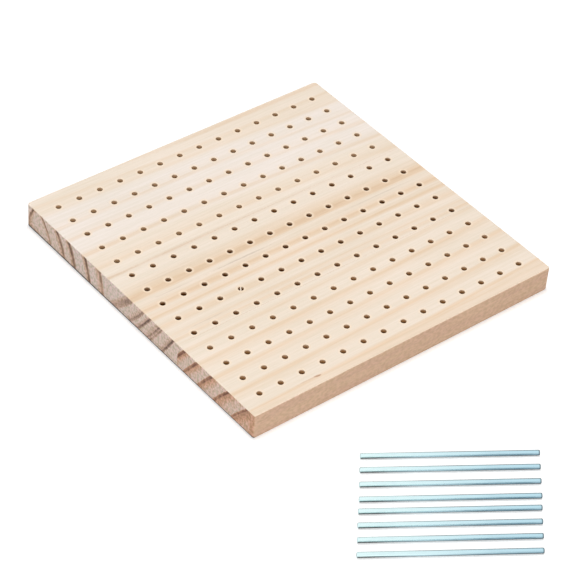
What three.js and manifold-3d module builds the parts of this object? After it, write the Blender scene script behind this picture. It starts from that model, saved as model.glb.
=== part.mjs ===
// Blocking board: an edge-glued pine panel drilled with a square grid of peg holes, and the loose steel
// pins that stand in the holes while a damp crochet or knitted square dries to size on them.
// Units are millimetres. +X runs along the grain, +Y to the back edge and +Z up.
// The origin is the centre of the panel's underside, on the table that the pins lie on too.
import * as THREE from "three";
import { mergeVertices } from "three/addons/utils/BufferGeometryUtils.js";
import Module from "manifold-3d";

// Panel: three staves, glued edge to edge, planed flat and sanded
const BOARD_LENGTH = 200; // along the grain
const BACK_STAVE_WIDTH = 75;
const MIDDLE_STAVE_WIDTH = 61.5;
const FRONT_STAVE_WIDTH = 63.5;
const BOARD_THICKNESS = 15;
const CORNER_RADIUS = 2; // of the four upright corners
const EDGE_ROUNDING = 0.8; // of the edges round the top and the underside

// Peg holes: drilled from the top after gluing, and stopped short of the underside
const HOLE_PITCH = 13.5;
const LEAST_EDGE_MARGIN = 12; // from an outer hole's centre to the panel's edge
const HOLE_FLOOR = 3; // wood left under the drill's tip
const DRILL_POINT_ANGLE = 118; // degrees, across the cone at the bottom of a hole

// Pins: cut from straight round bar, with both ends broken
const PIN_DIAMETER = 2.8;
const PIN_LENGTH = 90;
const PIN_END_CHAMFER = 0.3;
const PIN_HOLE_CLEARANCE = 0.1; // all round a pin that stands in a hole

// Where the loose pins lie, in front of the panel
const PIN_HEADING = -33.3; // degrees, from +X
const PIN_SPACINGS = [9.6, 9.8, 9.9, 7.9, 9.1, 9.4, 9.4]; // across the pins, from each to the next
const PIN_STAGGER = 1.3; // how much further back along its length each pin lies than the last
const FIRST_PIN_FROM_LEFT = 35; // from the panel's left end to the first pin's near end
const FIRST_PIN_FROM_FRONT = 40.3; // from the panel's front edge to the first pin's near end

// Facets
const CORNER_STEPS = 5;
const EDGE_STEPS = 2;
const HOLE_SIDES = 16;
const PIN_SIDES = 16;
const OVERCUT = 1; // how far a cutting tool runs past the wood

// Worked out from the sizes above
const BOARD_WIDTH = BACK_STAVE_WIDTH + MIDDLE_STAVE_WIDTH + FRONT_STAVE_WIDTH;
const BACK_EDGE = BOARD_WIDTH / 2;
const FRONT_EDGE = -BOARD_WIDTH / 2;
const LEFT_END = -BOARD_LENGTH / 2;
const HOLE_RADIUS = PIN_DIAMETER / 2 + PIN_HOLE_CLEARANCE;
const EDGE_FILLET = Math.min(EDGE_ROUNDING, CORNER_RADIUS / 2, BOARD_THICKNESS / 4);

const wasm = await Module();
wasm.setup();

// A closed geometry as a solid that can be cut.
function solidOf(geometry) {
  const bare = geometry.clone().deleteAttribute("normal").deleteAttribute("uv");
  const merged = mergeVertices(bare, 1e-4);
  return new wasm.Manifold(
    new wasm.Mesh({
      numProp: 3,
      vertProperties: new Float32Array(merged.attributes.position.array),
      triVerts: new Uint32Array(merged.index.array),
    }),
  );
}

// A cut solid as a geometry with a flat normal on each face.
function geometryOf(solid) {
  const cut = solid.getMesh();
  const indexed = new THREE.BufferGeometry()
    .setAttribute("position", new THREE.BufferAttribute(cut.vertProperties, 3))
    .setIndex(new THREE.BufferAttribute(cut.triVerts, 1));
  const geometry = indexed.toNonIndexed();
  geometry.computeVertexNormals();
  return geometry;
}

// The panel's outline, seen from above, drawn inside the rounding of its edges.
function panelOutline() {
  const x = BOARD_LENGTH / 2;
  const y = BOARD_WIDTH / 2;
  const r = CORNER_RADIUS;
  const outline = new THREE.Shape();
  outline.moveTo(r - x, -y);
  outline.lineTo(x - r, -y);
  outline.absarc(x - r, r - y, r, -Math.PI / 2, 0);
  outline.lineTo(x, y - r);
  outline.absarc(x - r, y - r, r, 0, Math.PI / 2);
  outline.lineTo(r - x, y);
  outline.absarc(r - x, y - r, r, Math.PI / 2, Math.PI);
  outline.lineTo(-x, r - y);
  outline.absarc(r - x, r - y, r, Math.PI, 1.5 * Math.PI);
  return outline;
}

// The whole glued panel with its corners and edges rounded, before it is drilled.
function panelBlank() {
  const geometry = new THREE.ExtrudeGeometry(panelOutline(), {
    depth: BOARD_THICKNESS - 2 * EDGE_FILLET,
    bevelEnabled: true,
    bevelThickness: EDGE_FILLET,
    bevelSize: EDGE_FILLET,
    bevelOffset: -EDGE_FILLET,
    bevelSegments: EDGE_STEPS,
    curveSegments: CORNER_STEPS,
  });
  return solidOf(geometry.translate(0, 0, EDGE_FILLET));
}

// The space that one stave fills in the panel, between the planes of its two long edges.
function staveBlank(frontY, backY) {
  const box = new THREE.BoxGeometry(
    BOARD_LENGTH + 2 * OVERCUT,
    backY - frontY,
    BOARD_THICKNESS + 2 * OVERCUT,
  );
  return solidOf(box.translate(0, (frontY + backY) / 2, BOARD_THICKNESS / 2));
}

// A drill of the holes' diameter with a cone point, standing on its tip at the hole's floor.
function drill() {
  const pointHeight = HOLE_RADIUS / Math.tan(THREE.MathUtils.degToRad(DRILL_POINT_ANGLE / 2));
  const profile = [
    new THREE.Vector2(0, HOLE_FLOOR),
    new THREE.Vector2(HOLE_RADIUS, HOLE_FLOOR + pointHeight),
    new THREE.Vector2(HOLE_RADIUS, BOARD_THICKNESS + OVERCUT),
    new THREE.Vector2(0, BOARD_THICKNESS + OVERCUT),
  ];
  return solidOf(new THREE.LatheGeometry(profile, HOLE_SIDES).rotateX(Math.PI / 2));
}

// Hole centres along one side of the panel, as many as its length has room for, centred on it.
function holeCentres(side) {
  const gaps = Math.floor((side - 2 * LEAST_EDGE_MARGIN) / HOLE_PITCH);
  return Array.from({ length: gaps + 1 }, (_, i) => (i - gaps / 2) * HOLE_PITCH);
}

// One stave: its slice of the panel, with every hole that comes down in it.
function stave(panel, frontY, backY) {
  const bit = drill();
  let wood = panel.intersect(staveBlank(frontY, backY));
  for (const y of holeCentres(BOARD_WIDTH)) {
    if (y + HOLE_RADIUS <= frontY || y - HOLE_RADIUS >= backY) continue;
    for (const x of holeCentres(BOARD_LENGTH)) {
      wood = wood.subtract(bit.translate([x, y, 0]));
    }
  }
  return geometryOf(wood);
}

// One pin, lying along +X from its near end at the origin.
function pin() {
  const r = PIN_DIAMETER / 2;
  const c = Math.min(PIN_END_CHAMFER, r / 2);
  const profile = [
    new THREE.Vector2(0, 0),
    new THREE.Vector2(r - c, 0),
    new THREE.Vector2(r, c),
    new THREE.Vector2(r, PIN_LENGTH - c),
    new THREE.Vector2(r - c, PIN_LENGTH),
    new THREE.Vector2(0, PIN_LENGTH),
  ];
  return new THREE.LatheGeometry(profile, PIN_SIDES).rotateZ(-Math.PI / 2);
}

const pine = (name, color) =>
  new THREE.MeshStandardMaterial({ name, color, roughness: 0.7, metalness: 0 });
const steel = new THREE.MeshStandardMaterial({
  name: "steel",
  color: 0xbfd8de,
  roughness: 0.25,
  metalness: 1,
});

const board = new THREE.Group();
const panel = panelBlank();
const backJoint = BACK_EDGE - BACK_STAVE_WIDTH;
const frontJoint = FRONT_EDGE + FRONT_STAVE_WIDTH;
const staves = [
  ["back_stave", backJoint, BACK_EDGE, pine("pale_pine", 0xf1e0cb)],
  ["middle_stave", frontJoint, backJoint, pine("warm_pine", 0xeedabf)],
  ["front_stave", FRONT_EDGE, frontJoint, pine("straw_pine", 0xf0ddc4)],
];
for (const [name, frontY, backY, material] of staves) {
  const mesh = new THREE.Mesh(stave(panel, frontY, backY), material);
  mesh.name = name;
  board.add(mesh);
}

const pins = new THREE.Group();
pins.position.set(LEFT_END + FIRST_PIN_FROM_LEFT, FRONT_EDGE - FIRST_PIN_FROM_FRONT, 0);
pins.rotation.z = THREE.MathUtils.degToRad(PIN_HEADING);
let across = 0;
for (let i = 0; i <= PIN_SPACINGS.length; i++) {
  const mesh = new THREE.Mesh(pin(), steel);
  mesh.name = `steel_pin_${i + 1}`;
  mesh.position.set(-i * PIN_STAGGER, -across, PIN_DIAMETER / 2);
  pins.add(mesh);
  across += PIN_SPACINGS[i];
}
board.add(pins);

export default board;
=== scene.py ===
# Blocking board: a drilled pine panel of three glued staves, with eight loose steel pins beside it.
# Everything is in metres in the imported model's own frame: +X along the grain, +Y to the back edge, +Z up.
# Sizes are written in millimetres and turned into metres with MM.
import math
from collections import namedtuple

import bpy
from mathutils import Matrix, Vector, geometry, noise


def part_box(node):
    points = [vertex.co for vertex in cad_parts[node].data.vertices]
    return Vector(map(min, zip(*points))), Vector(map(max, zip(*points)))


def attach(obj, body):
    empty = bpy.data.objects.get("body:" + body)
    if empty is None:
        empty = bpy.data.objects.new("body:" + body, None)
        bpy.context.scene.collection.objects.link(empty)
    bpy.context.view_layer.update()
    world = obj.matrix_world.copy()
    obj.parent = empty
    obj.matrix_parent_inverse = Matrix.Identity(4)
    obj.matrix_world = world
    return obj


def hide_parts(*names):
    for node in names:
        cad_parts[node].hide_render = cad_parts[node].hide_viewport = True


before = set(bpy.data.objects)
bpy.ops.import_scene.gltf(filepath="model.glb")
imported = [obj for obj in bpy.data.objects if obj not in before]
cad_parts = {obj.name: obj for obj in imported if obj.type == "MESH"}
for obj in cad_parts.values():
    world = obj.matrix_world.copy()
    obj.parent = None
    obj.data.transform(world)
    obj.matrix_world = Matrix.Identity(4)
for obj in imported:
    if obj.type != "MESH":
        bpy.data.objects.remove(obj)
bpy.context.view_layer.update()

MM = 0.001

# The view
# The photograph looks down at the panel's front left corner from well back, so its far sides hardly
# shorten. The aim and distance are real sizes, and the lens is for a picture as wide as it is high.
CAMERA_AROUND = math.radians(-41.802)  # from straight in front of the panel, to its left
CAMERA_ABOVE = math.radians(41.006)  # from level with the table
CAMERA_TILT = math.radians(4.987)  # of the picture, turned about the line of sight
CAMERA_DISTANCE = 1240.96 * MM
CAMERA_AIM = Vector((-20.85, -27.32, 7.5)) * MM
CAMERA_LENS = 147.42
FILM_WIDTH = 36

away = Vector(
    (
        math.sin(CAMERA_AROUND) * math.cos(CAMERA_ABOVE),
        -math.cos(CAMERA_AROUND) * math.cos(CAMERA_ABOVE),
        math.sin(CAMERA_ABOVE),
    )
)
level = Vector((math.cos(CAMERA_AROUND), math.sin(CAMERA_AROUND), 0))
upright = away.cross(level)
rightward = level * math.cos(CAMERA_TILT) + upright * math.sin(CAMERA_TILT)
upward = upright * math.cos(CAMERA_TILT) - level * math.sin(CAMERA_TILT)

lens = bpy.data.cameras.new("camera")
lens.lens = CAMERA_LENS
lens.sensor_width = FILM_WIDTH
camera = bpy.data.objects.new("camera", lens)
camera.matrix_world = Matrix.Translation(CAMERA_AIM + away * CAMERA_DISTANCE) @ Matrix(
    (rightward, upward, away)
).transposed().to_4x4()
bpy.context.collection.objects.link(camera)
bpy.context.scene.camera = camera

# Back stave
# The widest of three solid pine staves, glued edge to edge into the panel, planed and sanded, then
# drilled from the top with its share of the peg holes. Its rings go round a pith near the back edge.
STAVES = ("back_stave", "middle_stave", "front_stave")
PANEL_LOW = Vector(min(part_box(name)[0][axis] for name in STAVES) / MM for axis in range(3))
PANEL_HIGH = Vector(max(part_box(name)[1][axis] for name in STAVES) / MM for axis in range(3))
CORNER_RADIUS = 2.0  # of the panel's upright corners
LEAST_CORNER_RADIUS = 1.3  # of the left front one, which the sandpaper took least
EDGE_EASE = 0.6  # rounding of the panel's edges
EDGE_EASE_CHANGE = 0.15  # how much more or less the sandpaper took along the edge
EDGE_RUB_LENGTH = 31  # from one hard rub of the sandpaper to the next
SEAM_EASE = 0.045  # the hairline left along a glued joint
EDGE_POINT_SPACING = 4.0
CORNER_STEPS = 6
EASE_STEPS = 5

HOLE_PITCH = 13.5
HOLE_RADIUS = 1.6  # a tenth over the drill's, opened by use
HOLE_FLOOR = 3.0  # wood left under the drill's tip
DRILL_POINT = math.radians(118)  # across the cone at the bottom of a hole
HOLE_CONE = HOLE_RADIUS / math.tan(DRILL_POINT / 2)  # the cone's height
HOLE_SIDES = 28
HOLES_A_SIDE = 14
LIT_DEPTH = 3.0  # how far the daylight reaches down a hole
MOUTH_WEAR = 0.12  # how far a hole's rim is broken
MOUTH_TEAR = 0.12  # and how much further where fibres came away
FIRST_HOLE = -HOLE_PITCH * (HOLES_A_SIDE - 1) / 2


def eased(x, y):
    """How far the panel's edge is rounded at this place."""
    return EDGE_EASE + EDGE_EASE_CHANGE * noise.noise(Vector((x, y, 3.7)) / EDGE_RUB_LENGTH)


def on_panel_edge(y):
    """Whether a long edge at this place is the panel's own front or back, and not a glued joint."""
    return min(abs(y - PANEL_LOW.y), abs(y - PANEL_HIGH.y)) < 0.01


def stave_outline(front, back):
    """The stave from above: each point with the way out of the panel there, and the way into a joint."""
    left, right = PANEL_LOW.x, PANEL_HIGH.x
    outline = []

    def corner(x, y, start):
        """A rounded corner of the panel, or a square one where the stave meets its neighbour."""
        sx, sy = math.copysign(1, x), math.copysign(1, y - (front + back) / 2)
        if on_panel_edge(y):
            radius = LEAST_CORNER_RADIUS if x < 0 and y < 0 else CORNER_RADIUS
            middle = Vector((x - sx * radius, y - sy * radius))
            for i in range(CORNER_STEPS + 1):
                turn = start + math.pi / 2 * i / CORNER_STEPS
                out = Vector((math.cos(turn), math.sin(turn)))
                outline.append((middle + radius * out, out, Vector((0, 0))))
        else:
            outline.append((Vector((x, y)), Vector((sx, 0)), Vector((0, sy))))

    def side(x0, y0, x1, y1):
        """Points along a straight side, short of its corners."""
        start, end = Vector((x0, y0)), Vector((x1, y1))
        along = (end - start).normalized()
        out = Vector((along.y, -along.x))
        seam = y0 == y1 and not on_panel_edge(y0)
        steps = round((end - start).length / EDGE_POINT_SPACING)
        for i in range(steps + 1):
            point = start.lerp(end, i / steps)
            outline.append((point, Vector((0, 0)), out) if seam else (point, out, Vector((0, 0))))

    margin = CORNER_RADIUS + 1
    corner(left, front, math.pi)
    side(left + margin, front, right - margin, front)
    corner(right, front, -math.pi / 2)
    side(right, front + margin, right, back - margin)
    corner(right, back, 0)
    side(right - margin, back, left + margin, back)
    corner(left, back, math.pi / 2)
    side(left, back - margin, left, front + margin)
    return outline


def smooth_mesh(name, points, faces):
    """A mesh from points in millimetres, shaded as a rounded surface."""
    mesh = bpy.data.meshes.new(name)
    mesh.from_pydata([Vector(point) * MM for point in points], [], faces)
    mesh.polygons.foreach_set("use_smooth", [True] * len(mesh.polygons))
    return mesh


def stave_mesh(name, front, back):
    """One stave as a closed mesh: its outline with eased edges, and a blind hole at every peg place."""
    points, faces, shading = [], [], []
    low, high = PANEL_LOW.z, PANEL_HIGH.z
    outline = stave_outline(front, back)

    def ring(places):
        """Add a closed row of points, and give back their numbers."""
        points.extend(places)
        return list(range(len(points) - len(places), len(points)))

    def band(below, above, below_normals, above_normals):
        """Join two rows of the same length with quads."""
        for i in range(len(below)):
            j = (i + 1) % len(below)
            faces.append((below[i], below[j], above[j], above[i]))
            shading.extend((below_normals[i], below_normals[j], above_normals[j], above_normals[i]))

    def cap(rows, up):
        """Close a flat face, bounded by the outline's row and the rows round its holes."""
        corners = [i for row in rows for i in row]
        place = {number: k for k, number in enumerate(corners)}
        loops = [[place[number] for number in row] for row in rows]
        flat = [Vector(points[i][:2]) for i in corners]
        inside_with_holes = 2
        made = geometry.delaunay_2d_cdt(flat, [], loops, inside_with_holes, 1e-9)
        triangles, came_from = made[2], made[3]
        for triangle in triangles:
            numbers = [corners[came_from[k][0]] for k in triangle]
            a, b, c = (Vector(points[i][:2]) for i in numbers)
            if ((b - a).cross(c - a) > 0) != up:
                numbers.reverse()
            faces.append(tuple(numbers))
            shading.extend([Vector((0, 0, 1 if up else -1))] * 3)

    def eased_row(turn, up):
        """The outline's row where the rounded edge has turned this far from upright to flat."""
        places, normals = [], []
        for point, out, seam in outline:
            ease = eased(*point) if out.length else SEAM_EASE
            lean = 1 - math.cos(turn)
            sunk = ease * (1 - math.sin(turn))
            spot = point - out * ease * lean - seam * SEAM_EASE * lean
            places.append((spot.x, spot.y, high - sunk if up else low + sunk))
            facing = out if out.length else seam
            rise = math.sin(turn) if up else -math.sin(turn)
            normals.append(Vector((facing.x * math.cos(turn), facing.y * math.cos(turn), rise)))
        return ring(places), normals

    turns = [math.pi / 2 * i / EASE_STEPS for i in range(EASE_STEPS + 1)]
    rows = [eased_row(turn, False) for turn in reversed(turns)] + [eased_row(t, True) for t in turns]
    for (below, below_normals), (above, above_normals) in zip(rows, rows[1:]):
        band(below, above, below_normals, above_normals)

    around = [2 * math.pi * i / HOLE_SIDES for i in range(HOLE_SIDES)]
    inward = [Vector((-math.cos(a), -math.sin(a), 0)) for a in around]
    cone_normals = [(n * HOLE_CONE + Vector((0, 0, HOLE_RADIUS))).normalized() for n in inward]

    def peg_hole(x, y):
        """One hole: its worn mouth, its wall and the cone under it. Gives back the row round its mouth."""
        wear = []
        for n in inward:
            torn = noise.noise(Vector((x - 2 * n.x, y - 2 * n.y, 1.3)) * 0.9)
            wear.append(MOUTH_WEAR + MOUTH_TEAR * max(0, torn))
        loops = []
        for turn in (math.pi / 2, math.pi / 4, 0):
            places, normals = [], []
            for n, w in zip(inward, wear):
                reach = HOLE_RADIUS + w * (1 - math.cos(turn))
                places.append((x - n.x * reach, y - n.y * reach, high - w * (1 - math.sin(turn))))
                normals.append(n * math.cos(turn) + Vector((0, 0, math.sin(turn))))
            loops.append((ring(places), normals))
        for height in (high - LIT_DEPTH, HOLE_FLOOR + HOLE_CONE):
            places = [(x - n.x * HOLE_RADIUS, y - n.y * HOLE_RADIUS, height) for n in inward]
            loops.append((ring(places), inward))
        for (above, above_normals), (below, below_normals) in zip(loops, loops[1:]):
            band(above, below, above_normals, below_normals)
        foot = loops[-1][0]
        tip = ring([(x, y, HOLE_FLOOR)])[0]
        for i in range(HOLE_SIDES):
            j = (i + 1) % HOLE_SIDES
            faces.append((foot[i], foot[j], tip))
            shading.extend((cone_normals[i], cone_normals[j], Vector((0, 0, 1))))
        return loops[0][0]

    grid = [FIRST_HOLE + HOLE_PITCH * i for i in range(HOLES_A_SIDE)]
    mouths = [peg_hole(x, y) for y in grid if front < y < back for x in grid]
    cap([rows[0][0]], False)
    cap([rows[-1][0]] + mouths, True)

    mesh = smooth_mesh(name, points, faces)
    mesh.normals_split_custom_set([tuple(n.normalized()) for n in shading])
    return mesh


def piece_of(name, mesh, material):
    """A piece of the scene, from its mesh and its material."""
    mesh.materials.append(material)
    piece = bpy.data.objects.new(name, mesh)
    bpy.context.collection.objects.link(piece)
    return piece


def linear(red, green, blue):
    """A colour as a screen shows it, turned into the light that a shader works with."""
    return tuple(
        (c / 255 / 12.92 if c < 11 else ((c / 255 + 0.055) / 1.055) ** 2.4) for c in (red, green, blue)
    ) + (1,)


def node(tree, kind, *inputs, **settings):
    """Add a shader node. Each input is a number, a colour or the socket that feeds it."""
    made = tree.nodes.new(kind)
    for name, value in settings.items():
        setattr(made, name, value)
    for socket, value in zip(made.inputs, inputs):
        if isinstance(value, bpy.types.NodeSocket):
            tree.links.new(value, socket)
        elif value is not None:
            socket.default_value = value
    return made


def new_material(name):
    """A material with its nodes and its one shader."""
    material = bpy.data.materials.new(name)
    material.use_nodes = True
    return material, material.node_tree, material.node_tree.nodes["Principled BSDF"]


def work(tree, operation, *inputs, clamp=False):
    """One step of arithmetic between sockets or numbers."""
    return node(tree, "ShaderNodeMath", *inputs, operation=operation, use_clamp=clamp).outputs[0]


def fade(tree, value, start, end, low=0, high=1):
    """A smooth change from low to high while value goes from start to end."""
    kind = "ShaderNodeMapRange"
    return node(tree, kind, value, start, end, low, high, interpolation_type="SMOOTHSTEP").outputs[0]


def blend(tree, share, first, second, way="MIX"):
    """Two colours mixed by a share."""
    made = tree.nodes.new("ShaderNodeMix")
    made.data_type = "RGBA"
    made.blend_type = way
    for socket, value in ((made.inputs[0], share), (made.inputs[6], first), (made.inputs[7], second)):
        if isinstance(value, bpy.types.NodeSocket):
            tree.links.new(value, socket)
        else:
            socket.default_value = value
    return made.outputs[2]


def group(name, inputs, outputs):
    """An empty node group with named number inputs and named outputs."""
    tree = bpy.data.node_groups.new(name, "ShaderNodeTree")
    for label, value in inputs.items():
        socket = tree.interface.new_socket(label, in_out="INPUT", socket_type="NodeSocketFloat")
        socket.default_value = value
    for label, kind in outputs.items():
        tree.interface.new_socket(label, in_out="OUTPUT", socket_type=kind)
    return tree, tree.nodes.new("NodeGroupInput").outputs, tree.nodes.new("NodeGroupOutput")


def use(tree, made_group, **values):
    """Place a group in a material, with its own values."""
    placed = tree.nodes.new("ShaderNodeGroup")
    placed.node_tree = made_group
    for label, value in values.items():
        socket = placed.inputs[label.replace("_", " ").capitalize()]
        if isinstance(value, bpy.types.NodeSocket):
            tree.links.new(value, socket)
        else:
            socket.default_value = value
    return placed.outputs


def place_in_mm(tree):
    """Where a point lies on its piece, in millimetres: the three numbers and the whole vector."""
    spot = tree.nodes.new("ShaderNodeTexCoord").outputs["Object"]
    grown = node(tree, "ShaderNodeVectorMath", spot, operation="SCALE")
    grown.inputs["Scale"].default_value = 1 / MM
    split = node(tree, "ShaderNodeSeparateXYZ", grown.outputs[0]).outputs
    return split[0], split[1], split[2], grown.outputs[0]


def way_it_faces(tree):
    """How far the surface faces along each of its piece's own three directions."""
    normal = node(tree, "ShaderNodeTexCoord").outputs["Normal"]
    return node(tree, "ShaderNodeSeparateXYZ", normal).outputs


def cloud(tree, vector, stretch, detail=2.0, offset=(0, 0, 0)):
    """Soft noise round one half, with spots a millimetre across before the stretch."""
    moved = node(tree, "ShaderNodeMapping", vector, offset, (0, 0, 0), stretch, vector_type="POINT")
    spots = node(tree, "ShaderNodeTexNoise", moved.outputs[0])
    spots.inputs["Scale"].default_value = 1
    spots.inputs["Detail"].default_value = detail
    return spots.outputs["Fac"]


def roughen(tree, shader, height, strength, depth):
    """Raise and sink the surface by a height that varies over it."""
    bump = node(tree, "ShaderNodeBump")
    bump.inputs["Strength"].default_value = strength
    bump.inputs["Distance"].default_value = depth * MM
    tree.links.new(height, bump.inputs["Height"])
    tree.links.new(bump.outputs[0], shader.inputs["Normal"])


NUMBER = "NodeSocketFloat"

# How far each point lies from the pith, measured through the rings. A low crown of the tree's own
# shape lifts the rings over the pith, and they drift, taper and bow along the stave. Where a long
# edge was cut down along one ring, the rings wrap round into it.
BOW_MIDDLE = -20  # the place along the stave where the bow turns
BOW_SCALE = 0.01  # so that the bow is the rings' shift 100 mm from there

growth, given, result = group(
    "growth rings",
    {
        "Pith across": 0,
        "Pith height": 0,
        "Crown lift": 0,
        "Crown reach": 50,
        "Lean": 0,
        "Drift": 0,
        "Taper": 0,
        "Bow": 0,
        "Wander": 1.2,
        "Wrap start": -500,
        "Wrap end": -501,
        "Wrap radius": 0,
    },
    {"Radius": NUMBER},
)
x, y, z, spot = place_in_mm(growth)
along = work(growth, "SUBTRACT", x, PANEL_LOW.x)
pith = work(growth, "MULTIPLY_ADD", given["Drift"], along, given["Pith across"])
across = work(growth, "SUBTRACT", y, pith)
span = work(growth, "ABSOLUTE", across)
share = work(growth, "DIVIDE", span, given["Crown reach"])
crown = work(growth, "EXPONENT", work(growth, "MULTIPLY", share, -1))
centre = work(growth, "MULTIPLY_ADD", given["Crown lift"], crown, given["Pith height"])
height = work(growth, "SUBTRACT", z, centre)
leaning = work(growth, "MULTIPLY", given["Lean"], work(growth, "SUBTRACT", PANEL_HIGH.z, z))
across = work(growth, "MULTIPLY_ADD", leaning, work(growth, "POWER", crown, 2), across)
squares = work(growth, "ADD", work(growth, "POWER", across, 2), work(growth, "POWER", height, 2))
radius = work(growth, "MULTIPLY_ADD", given["Taper"], along, work(growth, "SQRT", squares))
bend = work(growth, "MULTIPLY", work(growth, "SUBTRACT", x, BOW_MIDDLE), BOW_SCALE)
bend = work(growth, "POWER", bend, 2)
radius = work(growth, "SUBTRACT", radius, work(growth, "MULTIPLY", bend, given["Bow"]))
sway = work(growth, "SUBTRACT", cloud(growth, spot, (0.016, 0.05, 0.05)), 0.5)
ripple = work(growth, "SUBTRACT", cloud(growth, spot, (0.07, 0.35, 0.35), offset=(7, 3, 1)), 0.5)
strayed = work(growth, "MULTIPLY_ADD", sway, given["Wander"], work(growth, "MULTIPLY", ripple, 0.5))
radius = work(growth, "ADD", radius, strayed)
wrap = fade(growth, y, given["Wrap start"], given["Wrap end"])
kept = work(growth, "MULTIPLY", radius, work(growth, "SUBTRACT", 1, wrap))
growth.links.new(work(growth, "MULTIPLY_ADD", given["Wrap radius"], wrap, kept), result.inputs[0])

# The fibres: long streaks on a face and fine pores on end grain, the broad mottle of a sanded
# board, and the thin tonal lines inside each year's growth.
fibre_marks = ("Streak", "Fine", "Mottle", "Lines", "Blotch", "Speckle")
fibres, given, result = group("pine fibres", {"Radius": 0}, dict.fromkeys(fibre_marks, NUMBER))
x, y, z, spot = place_in_mm(fibres)
by_ring = node(fibres, "ShaderNodeCombineXYZ", work(fibres, "MULTIPLY", x, 0.012), given["Radius"], 0)
for label, where, stretch, detail, offset in (
    ("Streak", spot, (0.02, 0.9, 0.9), 3, (0, 0, 0)),
    ("Fine", spot, (0.09, 3.4, 3.4), 2, (0, 0, 0)),
    ("Mottle", spot, (0.012, 0.06, 0.06), 2, (5, 1, 2)),
    ("Lines", by_ring.outputs[0], (1, 1.1, 1), 3, (0, 0, 0)),
    ("Blotch", spot, (0.03, 0.22, 0.22), 2, (2, 8, 4)),
    ("Speckle", spot, (0.4, 0.62, 0.62), 4, (1, 4, 6)),
):
    fibres.links.new(cloud(fibres, where, stretch, detail, offset), result.inputs[label])

# Where a face is end grain, cut across the fibres, and where it is a sawn long edge.
cut_faces, given, result = group("cut faces", {}, {"End": NUMBER, "Edge": NUMBER})
facing = way_it_faces(cut_faces)
for axis, label, start, full in ((0, "End", 0.5, 0.98), (1, "Edge", 0.25, 0.75)):
    turned = fade(cut_faces, work(cut_faces, "ABSOLUTE", facing[axis]), start, full)
    cut_faces.links.new(turned, result.inputs[label])

# The drilled holes: crushed pale fibres round each mouth, and a wall burnished brown by the bit at its
# mouth and darker below. The underside under a hole is left alone.
RIM_START = HOLE_RADIUS + 1.7
RIM_FULL = HOLE_RADIUS + 0.5

drilled, given, result = group("drilled holes", {}, {"Rim": NUMBER, "Burnish": NUMBER, "Darker wall": NUMBER})
x, y, z, spot = place_in_mm(drilled)
offsets = [
    work(drilled, "PINGPONG", work(drilled, "SUBTRACT", value, FIRST_HOLE), HOLE_PITCH / 2)
    for value in (x, y)
]
squares = [work(drilled, "POWER", value, 2) for value in offsets]
distance = work(drilled, "SQRT", work(drilled, "ADD", *squares))
above_floor = work(drilled, "GREATER_THAN", z, HOLE_FLOOR - 0.5)
rim = work(drilled, "MULTIPLY", fade(drilled, distance, RIM_START, RIM_FULL), above_floor)
inside = work(drilled, "LESS_THAN", distance, HOLE_RADIUS + MOUTH_WEAR)
inside = work(drilled, "MULTIPLY", inside, above_floor)
for value in (x, y):
    within = work(drilled, "LESS_THAN", work(drilled, "ABSOLUTE", value), HOLE_PITCH / 2 - FIRST_HOLE)
    inside = work(drilled, "MULTIPLY", inside, within)
    rim = work(drilled, "MULTIPLY", rim, within)
patch = cloud(drilled, spot, (0.5, 0.5, 0.9))
depth = work(drilled, "MULTIPLY_ADD", patch, 0.9, z)  # patchy, as the bit rubs
drilled.links.new(rim, result.inputs["Rim"])
for label, start, full in (("Burnish", 0.45, -0.5), ("Darker wall", 0.1, -1.0)):
    darkened = fade(drilled, depth, PANEL_HIGH.z + start, PANEL_HIGH.z + full)
    drilled.links.new(work(drilled, "MULTIPLY", darkened, inside), result.inputs[label])

# A painted contact shadow: a dark line painted along the lower edge of the left end, where the
# board's shadow meets the table. It is lower towards the front, and ragged.
SHADOW_LINE_TOP = 2.1
SHADOW_LINE_FULL = 1.3

painted_contact_shadow, given, result = group("painted contact shadow", {}, {"Share": NUMBER})
x, y, z, spot = place_in_mm(painted_contact_shadow)
height = work(painted_contact_shadow, "MULTIPLY_ADD", cloud(painted_contact_shadow, spot, (1, 0.16, 1)), 0.7, z)
height = work(painted_contact_shadow, "ADD", height, fade(painted_contact_shadow, y, PANEL_HIGH.y, PANEL_LOW.y, 0, 0.45))
low_down = fade(painted_contact_shadow, height, SHADOW_LINE_TOP, SHADOW_LINE_FULL)
facing_left = fade(painted_contact_shadow, way_it_faces(painted_contact_shadow)[0], -0.1, -0.5)
shadow_share = work(painted_contact_shadow, "MULTIPLY", low_down, facing_left)
painted_contact_shadow.links.new(shadow_share, result.inputs["Share"])

# The hairline of set glue along a joint, seen on the faces that the joint runs out on. It is broken
# here and there, and changes in strength from one end of the panel to the other.
glue_line, given, result = group(
    "glue line", {"Across": 0, "Width": 0.35, "Left strength": 1, "Right strength": 1}, {"Share": NUMBER}
)
x, y, z, spot = place_in_mm(glue_line)
offset = work(glue_line, "ABSOLUTE", work(glue_line, "SUBTRACT", y, given["Across"]))
line = fade(glue_line, offset, given["Width"], 0)
leftward = node(glue_line, "ShaderNodeMapRange", x, PANEL_HIGH.x, PANEL_LOW.x, 0, 1).outputs[0]
gained = work(glue_line, "SUBTRACT", given["Left strength"], given["Right strength"])
gained = work(glue_line, "MULTIPLY", gained, work(glue_line, "POWER", leftward, 2))
strength = work(glue_line, "ADD", given["Right strength"], gained)
broken = fade(glue_line, cloud(glue_line, spot, (0.05, 0.1, 0.4)), 0.3, 0.6, 0.45, 1)
line = work(glue_line, "MULTIPLY", line, work(glue_line, "MULTIPLY", strength, broken))
glue_line.links.new(line, result.inputs["Share"])

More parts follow.
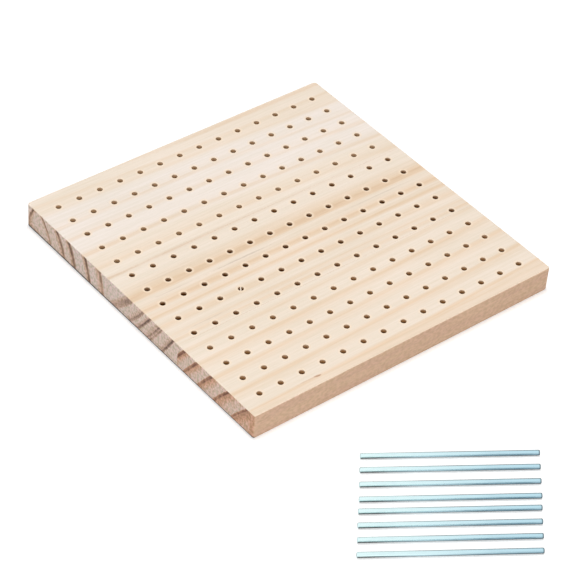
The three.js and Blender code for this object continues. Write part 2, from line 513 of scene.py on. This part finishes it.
# A short fleck of resin or bark in the wood, longest along the grain and ragged at its ends.
fleck, given, result = group(
    "resin fleck", {"Along": 0, "Across": 0, "Length": 10, "Width": 0.4, "Slope": 0}, {"Share": NUMBER}
)
x, y, z, spot = place_in_mm(fleck)
forward = work(fleck, "SUBTRACT", x, given["Along"])
sideways = work(fleck, "SUBTRACT", y, given["Across"])
sideways = work(fleck, "SUBTRACT", sideways, work(fleck, "MULTIPLY", forward, given["Slope"]))
ragged = work(fleck, "SUBTRACT", cloud(fleck, spot, (0.35, 1.2, 0.6), detail=3), 0.5)
forward = work(fleck, "DIVIDE", forward, given["Length"])
sideways = work(fleck, "DIVIDE", sideways, given["Width"])
far = work(fleck, "ADD", work(fleck, "POWER", forward, 2), work(fleck, "POWER", sideways, 2))
far = work(fleck, "MULTIPLY_ADD", ragged, 1.6, work(fleck, "SQRT", far))
fleck.links.new(fade(fleck, far, 1.15, 0.35), result.inputs["Share"])


# One year's growth: how far from the pith its dark line ends, the line's width, how dark it is, how far
# inside the line the darkening starts, and how dark the wood is before that.
Year = namedtuple("Year", "line width dark rise early")


def growth_chart(tree, radius, years, fall):
    """How late in the year the wood grew, at each distance from the pith: 0 in spring, 1 at its darkest.

    Past each dark line it falls back to the next year's spring. The chart starts a little before its
    first year and ends a little past its last.
    """
    first = years[0].line - years[0].rise - 2
    last = years[-1].line + 6
    ramp = tree.nodes.new("ShaderNodeValToRGB")
    tree.links.new(
        node(tree, "ShaderNodeMapRange", radius, first, last, 0, 1).outputs[0], ramp.inputs[0]
    )
    elements = ramp.color_ramp.elements
    while len(elements) > 1:
        elements.remove(elements[0])
    elements[0].position = 0
    elements[0].color = (years[0].early, 0, 0, 1)
    for (line, width, dark, rise, early), following in zip(years, years[1:] + [years[-1]]):
        for place, share in (
            (line - rise, early),
            (line - width, early + 0.5 * (dark - early)),
            (line - 0.6 * width, dark),
            (line, 0.8 * dark),
            (line + fall, 0.6 * following.early),
        ):
            elements.new((place - first) / (last - first)).color = (share, 0, 0, 1)
    return node(tree, "ShaderNodeSeparateColor", ramp.outputs[0]).outputs[0]


def shades(tree, late, colours):
    """The wood's colour from early wood, through the warm middle of the year, to the dark line."""
    ramp = tree.nodes.new("ShaderNodeValToRGB")
    tree.links.new(late, ramp.inputs[0])
    early, middle, line = colours
    stops = ramp.color_ramp.elements
    stops[0].color, stops[1].color = early, line
    stops.new(0.45).color = middle
    return ramp.outputs[0]


def end_grain(tree, wood, y, late, colours):
    """End grain: the rings, greyed in patches and all through its middle, with a pink cast between them."""
    back, back_full, front_full, front = GREY_MIDDLE
    middle = work(tree, "MULTIPLY", fade(tree, y, back, back_full), fade(tree, y, front, front_full))
    greyed = work(tree, "MAXIMUM", fade(tree, wood["Blotch"], 0.6, 0.4, 0.2, 0.6), middle)
    greyed = work(tree, "MULTIPLY", greyed, fade(tree, late, 0.3, 0))
    pink = fade(tree, wood["Speckle"], 0.42, 0.66, 0, 0.6)
    pink = work(tree, "MULTIPLY", pink, fade(tree, late, 0.6, 0))
    colour = blend(tree, greyed, shades(tree, late, colours), GREY_END)
    return blend(tree, pink, colour, PINK_END)


def bleached(tree, x, y, late, colour, pale):
    """The face, paler in one broad strip along the grain, between its dark lines."""
    strength, (back, back_full, front_full, front), shade = pale
    across = work(tree, "MULTIPLY_ADD", work(tree, "SUBTRACT", x, PANEL_LOW.x), PALE_SLANT, y)
    share = work(tree, "MULTIPLY", fade(tree, across, front, front_full), strength)
    share = work(tree, "MULTIPLY", fade(tree, across, back, back_full), share)
    share = work(tree, "MULTIPLY", work(tree, "SUBTRACT", 1, late), share)
    return blend(tree, share, colour, shade)


def worked_surface(tree, wood, cut):
    """Lighter and darker streaks of the fibres, the pores of end grain and the marks of the saw."""
    tone = work(tree, "ADD", fade(tree, wood["Streak"], 0.3, 0.7, -0.03, 0.03), 0.99)
    tone = work(tree, "ADD", tone, fade(tree, wood["Fine"], 0.3, 0.75, -0.026, 0.026))
    tone = work(tree, "ADD", tone, fade(tree, wood["Mottle"], 0.3, 0.7, -0.015, 0.015))
    pores = fade(tree, wood["Fine"], 0.4, 0.7, 0.03, -0.13)
    tone = work(tree, "MULTIPLY_ADD", pores, cut["End"], tone)
    sawn = fade(tree, wood["Speckle"], 0.36, 0.64, -0.09, 0.08)
    across_grain = work(tree, "MAXIMUM", work(tree, "MULTIPLY", cut["End"], 2.7), cut["Edge"])
    tone = work(tree, "MULTIPLY_ADD", sawn, across_grain, tone)
    warmer_when_dark = work(tree, "POWER", tone, 1.5)
    return node(tree, "ShaderNodeCombineColor", tone, tone, warmer_when_dark).outputs[0]


def pine(name, rings, face_years, end_years, face, end, edge, wall, pale=None, flecks=(), glue=()):
    """Planed pine: rings, fibres and holes, in its own colours for faces, end grain and sawn edges.

    Each of those has three colours: spring wood, the warm middle of the year and its dark line. A
    hole's wall has two, in spring and in late wood. A pale strip has its strength, the four places
    across the grain where it starts, is full, is full still and ends, and its colour. A fleck has its
    strength, its colour and its place, and a glue line has its place.
    """
    material, tree, shader = new_material(name)
    radius = use(tree, growth, **rings)["Radius"]
    wood = use(tree, fibres, radius=radius)
    cut = use(tree, cut_faces)
    x, y, z, spot = place_in_mm(tree)

    lines = fade(tree, wood["Lines"], 0.3, 0.7, -0.03, 0.03)
    uneven = fade(tree, wood["Blotch"], 0.3, 0.65, 0.85, 1.1)
    on_face = growth_chart(tree, radius, face_years, fall=1.4)
    late_face = work(tree, "MULTIPLY_ADD", on_face, uneven, lines, clamp=True)
    uneven = work(tree, "ADD", uneven, fade(tree, z, 0, PANEL_HIGH.z, -0.12, 0.1))
    on_end = growth_chart(tree, radius, end_years, fall=0.7)
    late_end = work(tree, "MULTIPLY_ADD", on_end, uneven, lines, clamp=True)

    face_colour = shades(tree, late_face, face)
    if pale:
        face_colour = bleached(tree, x, y, late_face, face_colour, pale)
    edge_colour = shades(tree, late_end, edge)
    edge_colour = blend(tree, fade(tree, wood["Blotch"], 0.42, 0.62, 0, 0.4), edge_colour, PINK_EDGE)
    colour = blend(tree, cut["Edge"], face_colour, edge_colour)
    colour = blend(tree, cut["End"], colour, end_grain(tree, wood, y, late_end, end))
    colour = blend(tree, 1.0, colour, worked_surface(tree, wood, cut), way="MULTIPLY")

    for strength, shade, place in flecks:
        share = use(tree, fleck, **place)["Share"]
        colour = blend(tree, work(tree, "MULTIPLY", share, strength), colour, shade)
    for place in glue:
        share = use(tree, glue_line, **place)["Share"]
        share = work(tree, "MULTIPLY", share, fade(tree, cut["End"], 0, 1, 1, 0.25))
        colour = blend(tree, share, colour, GLUE)
    # painted shadow along the lower edge of the left end
    colour = blend(tree, use(tree, painted_contact_shadow)["Share"], colour, PAINTED_SHADOW_COLOUR)
    holes = use(tree, drilled)
    colour = blend(tree, work(tree, "MULTIPLY", holes["Rim"], 0.6), colour, PALE_RIM)
    colour = blend(tree, holes["Burnish"], colour, BURNISHED)
    # below its mouth a hole's wall is darker
    darker_wall = work(tree, "MULTIPLY", holes["Darker wall"], fade(tree, wood["Mottle"], 0.35, 0.6, 0.7, 1))
    wall_colour = blend(tree, fade(tree, late_face, 0.1, 0.45), *wall)
    colour = blend(tree, darker_wall, colour, wall_colour)
    tree.links.new(colour, shader.inputs["Base Color"])

    rough = fade(tree, wood["Streak"], 0.25, 0.75, 0.6, 0.74)
    tree.links.new(work(tree, "MULTIPLY_ADD", late_face, -0.12, rough), shader.inputs["Roughness"])
    raised = work(tree, "MULTIPLY_ADD", late_face, 0.5, wood["Fine"])
    raised = work(tree, "MULTIPLY_ADD", wood["Streak"], 0.6, raised)
    roughen(tree, shader, raised, strength=0.35, depth=0.06)
    return material


def stave(name, material):
    """Set one finished stave in its place in the panel."""
    low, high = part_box(name)
    mesh = stave_mesh(name, *(round(value / MM, 3) for value in (low.y, high.y)))
    piece = piece_of(f"planed_{name}", mesh, material)
    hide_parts(name)
    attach(piece, "panel")


GLUE = linear(206, 168, 126)
PALE_RIM = linear(251, 229, 203)
BURNISHED = linear(214, 176, 138)
# the colour of the painted contact shadow under the left end
PAINTED_SHADOW_COLOUR = linear(52, 38, 32)
GREY_FLECK = linear(196, 180, 164)
PALE_SLANT = 0.04  # how far a pale strip moves across the grain for each millimetre along it
GREY_END = linear(221, 207, 198)
GREY_MIDDLE = (66, 52, 12, -2)  # where it starts at the back, is full, is full still and ends
PINK_END = linear(208, 172, 158)
PINK_EDGE = linear(213, 174, 153)
SAWN_PINE = (linear(215, 190, 167), linear(208, 178, 152), linear(194, 161, 135))
BACK_JOINT = round(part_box("back_stave")[0].y / MM, 3)
FRONT_JOINT = round(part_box("front_stave")[1].y / MM, 3)
BACK_GLUE = dict(across=BACK_JOINT, width=2.2, left_strength=0.56, right_strength=0.09)
FRONT_GLUE = dict(across=FRONT_JOINT, width=0.35, left_strength=0.12, right_strength=0.12)

back_pine = pine(
    "pale_pine",
    rings=dict(
        pith_across=89.5,
        pith_height=-8.4,
        crown_lift=17,
        crown_reach=16.4,
        lean=0.53,
        drift=-0.03,
        taper=0.006,
        bow=2.0,
    ),
    face_years=[
        Year(10.9, width=1.5, dark=0.22, rise=3.0, early=0.10),
        Year(24.2, width=2.4, dark=0.42, rise=7.0, early=0.05),
        Year(34.5, width=2.4, dark=0.46, rise=7.0, early=0.05),
        Year(47.6, width=2.2, dark=0.46, rise=6.0, early=0.08),
        Year(59.8, width=3.0, dark=0.26, rise=8.0, early=0.04),
    ],
    end_years=[
        Year(10.2, width=1.9, dark=0.85, rise=5.0, early=0.05),
        Year(25.2, width=2.8, dark=0.88, rise=6.0, early=0.06),
        Year(35.6, width=2.9, dark=0.92, rise=5.6, early=0.06),
        Year(48.8, width=2.1, dark=1.00, rise=5.0, early=0.03),
        Year(60.9, width=2.2, dark=0.78, rise=6.0, early=0.10),
    ],
    pale=(0.9, (89, 82, 52, 43), linear(244, 233, 224)),
    face=(linear(243, 229, 213), linear(236, 210, 182), linear(212, 178, 142)),
    end=(linear(224, 204, 188), linear(203, 167, 141), linear(97, 65, 45)),
    edge=SAWN_PINE,
    wall=(linear(208, 177, 137), linear(180, 138, 92)),
    flecks=[(0.28, linear(226, 190, 154), dict(along=60, across=97.4, length=100, width=1.5))],
    glue=[BACK_GLUE],
)
stave("back_stave", back_pine)

# Middle stave
# The narrow stave between the two glued joints, of a redder piece of pine. It was sawn from beside
# the heart, so its rings lean over, close together, and one wide dark one runs next to the back joint.
middle_pine = pine(
    "warm_pine",
    rings=dict(
        pith_across=142.6,
        pith_height=113.35,
        crown_lift=60,
        crown_reach=63.3,
        bow=0.7,
    ),
    face_years=[
        Year(174.2, width=3.2, dark=0.70, rise=9.0, early=0.03),
        Year(182.3, width=2.0, dark=0.56, rise=4.0, early=0.12),
        Year(187.5, width=1.6, dark=0.46, rise=3.5, early=0.12),
        Year(194.6, width=3.0, dark=0.36, rise=5.0, early=0.04),
        Year(200.3, width=1.2, dark=0.28, rise=2.0, early=0.1),
        Year(203.4, width=1.8, dark=0.36, rise=2.0, early=0.12),
    ],
    end_years=[
        Year(174.5, width=4.0, dark=0.68, rise=5.5, early=0.06),
        Year(182.3, width=1.5, dark=0.74, rise=4.0, early=0.07),
        Year(187.0, width=1.3, dark=0.95, rise=3.0, early=0.05),
        Year(193.3, width=1.2, dark=0.78, rise=4.0, early=0.08),
        Year(195.0, width=1.0, dark=0.70, rise=1.1, early=0.40),
        Year(203.1, width=1.4, dark=1.00, rise=4.0, early=0.06),
    ],
    face=(linear(242, 228, 212), linear(236, 210, 182), linear(212, 178, 142)),
    end=(linear(224, 205, 190), linear(199, 167, 147), linear(93, 63, 48)),
    edge=SAWN_PINE,
    wall=(linear(156, 110, 64), linear(120, 74, 28)),
    flecks=[
        (0.2, GREY_FLECK, dict(along=-76, across=11, length=22, width=0.5)),
        (0.5, GREY_FLECK, dict(along=-32, across=-1, length=22, width=0.6)),
        (0.32, GREY_FLECK, dict(along=60, across=-1, length=30, width=0.5)),
        (0.3, GREY_FLECK, dict(along=-75, across=-1, length=15, width=0.5)),
        (0.3, GREY_FLECK, dict(along=-75, across=-29.6, length=15, width=0.5)),
    ],
    glue=[BACK_GLUE, FRONT_GLUE],
)
stave("middle_stave", middle_pine)

# Torn fibre
# One sliver of pine in the middle stave that the drill pushed aside and didn't cut. It stands across
# its hole a little below the top, held by the wood at both ends.
SLIVER_PLACE = Vector((-47.25, -20.25))  # the middle of its hole
SLIVER_ALONG = Vector((0.67, 0.742))
SLIVER_REACH = 2.1  # from the middle to each end, which is held in the wood
SLIVER_TOP = PANEL_HIGH.z - 0.03
SLIVER_SAG = 0.22
SLIVER_CURL = 0.12
SLIVER_HALF_WIDTH = 0.36
SLIVER_HALF_THICKNESS = 0.16
SLIVER_TAPER = 0.75  # how much thinner it is at its ends
SLIVER_SECTIONS = 12
SLIVER_SIDES = 8
SLIVER_FROM_PITH = 190


def tube_faces(rows, sides):
    """Join rows of points, all with the same number of sides, into a tube closed at both ends."""
    faces = []
    for k in range(rows - 1):
        here, there = k * sides, (k + 1) * sides
        for i in range(sides):
            j = (i + 1) % sides
            faces.append((here + i, here + j, there + j, there + i))
    faces.append(tuple(reversed(range(sides))))
    faces.append(tuple(range((rows - 1) * sides, rows * sides)))
    return faces


points = []
sideways = Vector((-SLIVER_ALONG.y, SLIVER_ALONG.x))
for k in range(SLIVER_SECTIONS + 1):
    share = 2 * k / SLIVER_SECTIONS - 1
    bulk = 1 - SLIVER_TAPER * abs(share) ** 3
    sag = SLIVER_SAG * (1 - share**2)
    bend = SLIVER_CURL * math.sin(2.2 * share + 0.4)
    for i in range(SLIVER_SIDES):
        turn = 2 * math.pi * i / SLIVER_SIDES
        wide = SLIVER_HALF_WIDTH * bulk * math.cos(turn) + bend
        tall = SLIVER_HALF_THICKNESS * bulk * (math.sin(turn) - 1)
        spot = SLIVER_PLACE + SLIVER_ALONG * SLIVER_REACH * share + sideways * wide
        points.append((spot.x, spot.y, SLIVER_TOP - sag + tall))

torn_pine, tree, shader = new_material("torn_pine")
wood = use(tree, fibres, radius=SLIVER_FROM_PITH)
pale = fade(tree, wood["Fine"], 0.35, 0.65)
strands = blend(tree, pale, linear(238, 220, 198), linear(247, 232, 214))
tree.links.new(strands, shader.inputs["Base Color"])
shader.inputs["Roughness"].default_value = 0.8
mesh = smooth_mesh("torn_fibre", points, tube_faces(SLIVER_SECTIONS + 1, SLIVER_SIDES))
sliver = piece_of("torn_fibre", mesh, torn_pine)
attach(sliver, "panel")

# Front stave
# The stave nearest the loose pins. Its rings arch over a heart below the front edge, and the last of
# them turns down along that edge, so the long front face is all dark late wood. A small knot shows there.
front_pine = pine(
    "straw_pine",
    rings=dict(
        pith_across=-96.2,
        pith_height=-72.2,
        crown_lift=60,
        crown_reach=59.3,
        drift=0.014,
        taper=-0.009,
        bow=0.8,
        wrap_start=-94.8,
        wrap_end=-97,
        wrap_radius=24.1,
    ),
    face_years=[
        Year(27.6, width=1.6, dark=0.42, rise=8.0, early=0.1),
        Year(44.0, width=2.6, dark=0.36, rise=8.0, early=0.02),
        Year(59.2, width=2.6, dark=0.34, rise=7.0, early=0.02),
        Year(72.0, width=2.8, dark=0.35, rise=7.0, early=0.02),
        Year(83.2, width=2.4, dark=0.22, rise=4.0, early=0.01),
    ],
    end_years=[
        Year(29.7, width=1.8, dark=0.88, rise=9.0, early=0.36),
        Year(46.5, width=2.4, dark=0.92, rise=9.0, early=0.20),
        Year(60.7, width=2.3, dark=0.90, rise=8.0, early=0.12),
        Year(72.8, width=2.3, dark=0.90, rise=6.5, early=0.08),
        Year(83.2, width=2.2, dark=0.95, rise=6.0, early=0.07),
    ],
    face=(linear(242, 227, 210), linear(236, 208, 178), linear(210, 174, 136)),
    end=(linear(222, 200, 182), linear(203, 156, 125), linear(110, 63, 39)),
    edge=(linear(217, 186, 159), linear(215, 180, 150), linear(200, 160, 127)),
    wall=(linear(184, 140, 90), linear(172, 128, 78)),
    flecks=[
        (0.75, linear(170, 120, 88), dict(along=-56, across=-94.4, length=2.4, width=0.7, slope=-0.1)),
        (0.35, linear(205, 170, 140), dict(along=-62, across=-94.2, length=9, width=0.6)),
    ],
    glue=[FRONT_GLUE],
)
stave("front_stave", front_pine)

# Steel pins
# Eight straight pins cut from drawn round bar, bright plated, with both ends broken. They stand in
# the peg holes when the board is in use, and here they lie loose on the table.
PINS = 8
PIN_HEADING = math.radians(-33.3)  # from along the panel's grain
PIN_LENGTH = 90.0
PIN_END_CHAMFER = 0.3
PIN_SIDES = 40
SHARP_FROM = math.radians(32)  # a sharper turn than this shows as an edge


def pin_mesh(name, diameter):
    """A round bar along X, centred on its middle, with a broken edge and a cut face at each end.

    The profile goes from the cut face, a little rounded at its rim, over the broken edge to the bar.
    Each of its points is a place along the bar and a distance from the bar's middle line.
    """
    r, half, c = diameter / 2, PIN_LENGTH / 2, PIN_END_CHAMFER
    profile = [
        (-half, 0.35 * r),
        (-half, 0.8 * (r - c)),
        (-half + 0.03, r - c),
        (-half + 0.4 * c, r - 0.5 * c),
        (-half + c, r - 0.04),
        (-half + 1.6 * c, r),
        (-half / 3, r),
    ]
    profile += [(-place, reach) for place, reach in reversed(profile)]
    points = []
    for place, reach in profile:
        for i in range(PIN_SIDES):
            a = 2 * math.pi * i / PIN_SIDES
            points.append((place, reach * math.cos(a), reach * math.sin(a)))
    mesh = smooth_mesh(name, points, tube_faces(len(profile), PIN_SIDES))
    mesh.set_sharp_from_angle(angle=SHARP_FROM)
    return mesh


# Pale plating with drawn lines and dull patches, paler to the left and bluer to the right as a painted
# reflection. Low on the front side lies a painted dark reflection of the shaded table, nearly black at
# the left end and blue towards the right. The last millimetre of the right end is darker.
LEFT_TIP = -PIN_LENGTH / 2
RIGHT_TIP = PIN_LENGTH / 2
LEFT_PLATING_AND_REFLECTION = linear(228, 253, 254)
RIGHT_PLATING_AND_REFLECTION = linear(192, 227, 240)
DULL_PATCH = linear(176, 204, 214)
DRAWN_LINE = linear(160, 188, 200)
LEFT_DARK_REFLECTION = linear(16, 18, 20)
MIDDLE_DARK_REFLECTION = linear(158, 182, 192)
RIGHT_DARK_REFLECTION = linear(84, 110, 126)
DARK_REFLECTION_PALES = (-42, -10)  # where along the pin the painted reflection goes from its left colour to the middle one
DARK_REFLECTION_BLUES = (-12, 26)  # and from there to the right one
PAINTED_EDGE_REFLECTION = linear(108, 118, 116)
EDGE_REFLECTION_GROWS = (-35, 0)
DARK_RIGHT_END = linear(64, 74, 80)

drawn_steel, tree, shader = new_material("drawn_steel")
shader.inputs["Metallic"].default_value = 1
shader.inputs["Specular Tint"].default_value = (0.2, 0.2, 0.2, 1)
x, y, z, spot = place_in_mm(tree)
drawn = cloud(tree, spot, (0.03, 4.5, 4.5), detail=3)
rubbed = cloud(tree, spot, (0.11, 0.5, 0.5), detail=3, offset=(4, 2, 9))
# the plating's colour, with a painted reflection: paler at the left end and bluer towards the right
colour = blend(tree, fade(tree, x, LEFT_TIP, RIGHT_TIP), LEFT_PLATING_AND_REFLECTION, RIGHT_PLATING_AND_REFLECTION)
colour = blend(tree, fade(tree, rubbed, 0.45, 0.8, 0, 0.22), colour, DULL_PATCH)
colour = blend(tree, fade(tree, drawn, 0.5, 0.75, 0, 0.2), colour, DRAWN_LINE)

faces_right, faces_back, faces_up = way_it_faces(tree)
# a painted dark reflection, low on the front side of each pin, where the shaded table would show in it
reflection_starts = fade(tree, x, LEFT_TIP, RIGHT_TIP, 0.32, 0.85)
reflection_is_full = fade(tree, x, LEFT_TIP, RIGHT_TIP, 0.14, -0.05)
painted_reflection = fade(tree, faces_up, reflection_starts, reflection_is_full)
painted_reflection = work(tree, "MULTIPLY", painted_reflection, fade(tree, faces_right, -0.9, -0.3))
painted_reflection = work(tree, "MULTIPLY", painted_reflection, fade(tree, faces_back, 0.3, -0.3, 0.25, 1))
painted_reflection = work(tree, "MULTIPLY", painted_reflection, fade(tree, rubbed, 0.2, 0.6, 1, 0.85))
dark_reflection_colour = blend(tree, fade(tree, x, *DARK_REFLECTION_PALES), LEFT_DARK_REFLECTION, MIDDLE_DARK_REFLECTION)
dark_reflection_colour = blend(tree, fade(tree, x, *DARK_REFLECTION_BLUES), dark_reflection_colour, RIGHT_DARK_REFLECTION)
colour = blend(tree, painted_reflection, colour, dark_reflection_colour)
# both long edges painted darker as they turn away from the view: a painted dark reflection
rim = node(tree, "ShaderNodeLayerWeight", 0.5).outputs["Facing"]
rim = work(tree, "MULTIPLY", fade(tree, rim, 0.2, 0.7), fade(tree, x, *EDGE_REFLECTION_GROWS, 0.1, 0.9))
colour = blend(tree, rim, colour, PAINTED_EDGE_REFLECTION)
# the last millimetre of the right end is darker
darker_right_end = fade(tree, x, RIGHT_TIP - 1.2, RIGHT_TIP - 0.2, 0, 0.75)
tree.links.new(blend(tree, darker_right_end, colour, DARK_RIGHT_END), shader.inputs["Base Color"])
tree.links.new(fade(tree, rubbed, 0.3, 0.75, 0.16, 0.34), shader.inputs["Roughness"])
roughen(tree, shader, drawn, strength=0.25, depth=0.02)

for number in range(1, PINS + 1):
    node_name = f"steel_pin_{number}"
    low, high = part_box(node_name)
    mesh = pin_mesh(node_name, (high.z - low.z) / MM)
    piece = piece_of(f"drawn_pin_{number}", mesh, drawn_steel)
    piece.matrix_world = Matrix.Translation((low + high) / 2) @ Matrix.Rotation(PIN_HEADING, 4, "Z")
    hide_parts(node_name)
    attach(piece, f"pin_{number}")

# The table
# A plain white table top. It is white to the camera and in the pins, keeps the shadows under the
# board and pins, and throws back less light at the wood than it shows.
TABLE_HALF = 3000 * MM
TABLE_SQUARES = 12
TABLE_TOP = -0.02 * MM  # just clear of the board's underside
NEAR_GLOW = 0.28
NEAR_ENDS = 350  # millimetres from the board's middle
FAR_GLOW = 0.6  # more, because the lamps reach the far table less
FAR_STARTS = 1300


def seen_directly(tree):
    """Whether the camera sees this place, either straight or as it shows in a bright pin."""
    path = tree.nodes.new("ShaderNodeLightPath").outputs
    seen = work(tree, "MAXIMUM", path["Is Camera Ray"], path["Is Glossy Ray"])
    return work(tree, "MAXIMUM", seen, path["Is Transmission Ray"])


steps = [TABLE_HALF * (2 * i / TABLE_SQUARES - 1) for i in range(TABLE_SQUARES + 1)]
corners = [(x, y, TABLE_TOP) for y in steps for x in steps]
row = TABLE_SQUARES + 1
squares = [
    (j * row + i, j * row + i + 1, (j + 1) * row + i + 1, (j + 1) * row + i)
    for j in range(TABLE_SQUARES)
    for i in range(TABLE_SQUARES)
]
mesh = bpy.data.meshes.new("table")
mesh.from_pydata(corners, [], squares)

table_white, tree, shader = new_material("table_white")
tree.nodes.remove(shader)
white = node(tree, "ShaderNodeBsdfDiffuse", (0.97, 0.97, 0.97, 1)).outputs[0]
x, y, z, spot = place_in_mm(tree)
distance = node(tree, "ShaderNodeVectorMath", spot, operation="LENGTH").outputs["Value"]
glow = fade(tree, distance, NEAR_ENDS, FAR_STARTS, NEAR_GLOW, FAR_GLOW)
glow = node(tree, "ShaderNodeEmission", glow).outputs[0]
shown = node(tree, "ShaderNodeAddShader", white, glow).outputs[0]
thrown = node(tree, "ShaderNodeBsdfDiffuse", (0.86, 0.84, 0.82, 1)).outputs[0]
table_shader = node(tree, "ShaderNodeMixShader", seen_directly(tree), thrown, shown).outputs[0]
tree.links.new(table_shader, tree.nodes["Material Output"].inputs["Surface"])
piece_of("table", mesh, table_white)

# The light
# A soft box high above the table, a second one beside the camera that fills the near faces and
# reaches into the holes, and a plain pale room round them. The lamps' sizes and places are in metres.
ROOM_LIGHT = 0.50  # what the room throws on the pieces, where the camera sees it at 1

for name, size, place, power in (
    ("soft_box", 0.40, Vector((0.05, 0.12, 1.35)), 7.2),
    ("fill_box", 0.30, Vector((-0.68, -0.76, 0.62)), 3.4),
):
    lamp = bpy.data.lights.new(name, "AREA")
    lamp.shape = "SQUARE"
    lamp.size = size
    lamp.energy = power
    box = bpy.data.objects.new(name, lamp)
    box.location = place
    box.rotation_euler = (-place).to_track_quat("-Z", "Y").to_euler()
    box.visible_camera = False
    box.visible_glossy = False
    bpy.context.collection.objects.link(box)

room = bpy.data.worlds.new("room")
room.use_nodes = True
tree = room.node_tree
strength = node(tree, "ShaderNodeMapRange", seen_directly(tree), 0, 1, ROOM_LIGHT, 1).outputs[0]
background = tree.nodes["Background"]
background.inputs["Color"].default_value = (1, 1, 1, 1)
tree.links.new(strength, background.inputs["Strength"])
bpy.context.scene.world = room
bpy.context.scene.view_settings.view_transform = "Standard"
